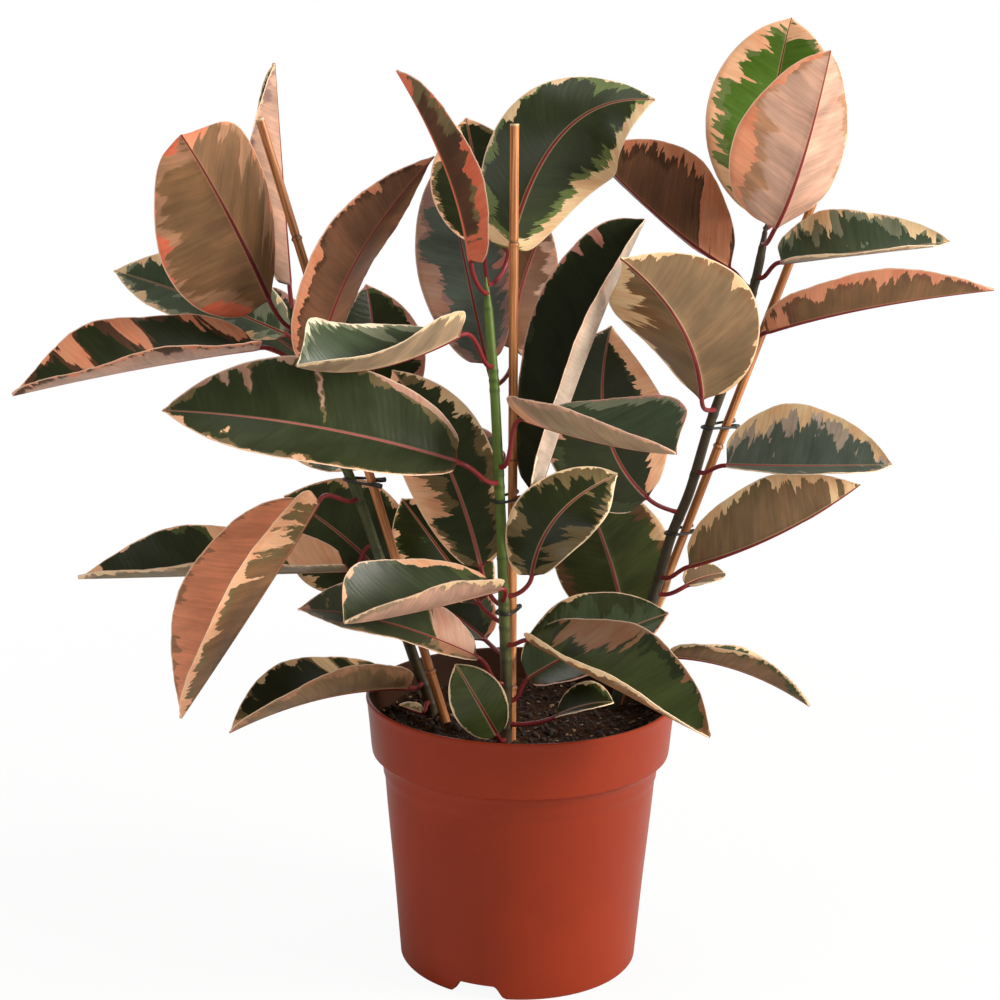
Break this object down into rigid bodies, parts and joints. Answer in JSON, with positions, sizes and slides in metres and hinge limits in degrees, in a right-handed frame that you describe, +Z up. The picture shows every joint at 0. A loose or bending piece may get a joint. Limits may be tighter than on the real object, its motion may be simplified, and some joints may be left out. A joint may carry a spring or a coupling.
{
  "type": "potted variegated rubber plant",
  "caption": "Potted variegated rubber plant: leafy stems tied to bamboo canes in a tapered plastic nursery pot of soil.",
  "frame": {"origin": "bottom centre of the bounding box, on the floor plane; the pot's axis lies a little behind and to the right of it", "axes": "+Z up along the pot's axis, +X to the right and -Y toward the viewer"},
  "size_m": [0.6228, 0.2562, 0.6354],
  "materials": {
    "pot": "satin moulded plastic",
    "soil": "crumbly dark peat compost",
    "stem": "living green and brown bark",
    "cane": "dry bamboo skin",
    "tie": "soft black plastic",
    "leaf": "thick glossy leaf, dark green with cream and pink margins"
  },
  "bodies": {
    "root": {"pot": "pot", "soil": "soil", "stem_left": "stem", "cane_left": "cane", "stem_centre": "stem", "cane_centre": "cane", "stem_right": "stem", "cane_right": "cane", "tie_left": "tie", "tie_centre_upper": "tie", "tie_centre_lower": "tie", "tie_right_upper": "tie", "tie_right_lower": "tie", "leaf_left_01": "leaf", "leaf_left_02": "leaf", "leaf_left_03": "leaf", "leaf_left_04": "leaf", "leaf_left_05": "leaf", "leaf_left_06": "leaf", "leaf_left_07": "leaf", "leaf_left_08": "leaf", "leaf_left_09": "leaf", "leaf_left_10": "leaf", "leaf_left_11": "leaf", "leaf_left_12": "leaf", "leaf_centre_01": "leaf", "leaf_centre_02": "leaf", "leaf_centre_03": "leaf", "leaf_centre_04": "leaf", "leaf_centre_05": "leaf", "leaf_centre_06": "leaf", "leaf_centre_07": "leaf", "leaf_centre_08": "leaf", "leaf_centre_09": "leaf", "leaf_centre_10": "leaf", "leaf_centre_11": "leaf", "leaf_centre_12": "leaf", "leaf_centre_13": "leaf", "leaf_centre_14": "leaf", "leaf_centre_15": "leaf", "leaf_centre_16": "leaf", "leaf_centre_17": "leaf", "leaf_centre_18": "leaf", "leaf_centre_19": "leaf", "leaf_centre_20": "leaf", "leaf_right_01": "leaf", "leaf_right_02": "leaf", "leaf_right_03": "leaf", "leaf_right_04": "leaf", "leaf_right_05": "leaf", "leaf_right_06": "leaf", "leaf_right_07": "leaf", "leaf_right_08": "leaf", "leaf_right_09": "leaf", "leaf_right_10": "leaf", "leaf_right_11": "leaf", "leaf_right_12": "leaf"}
  },
  "joints": []
}
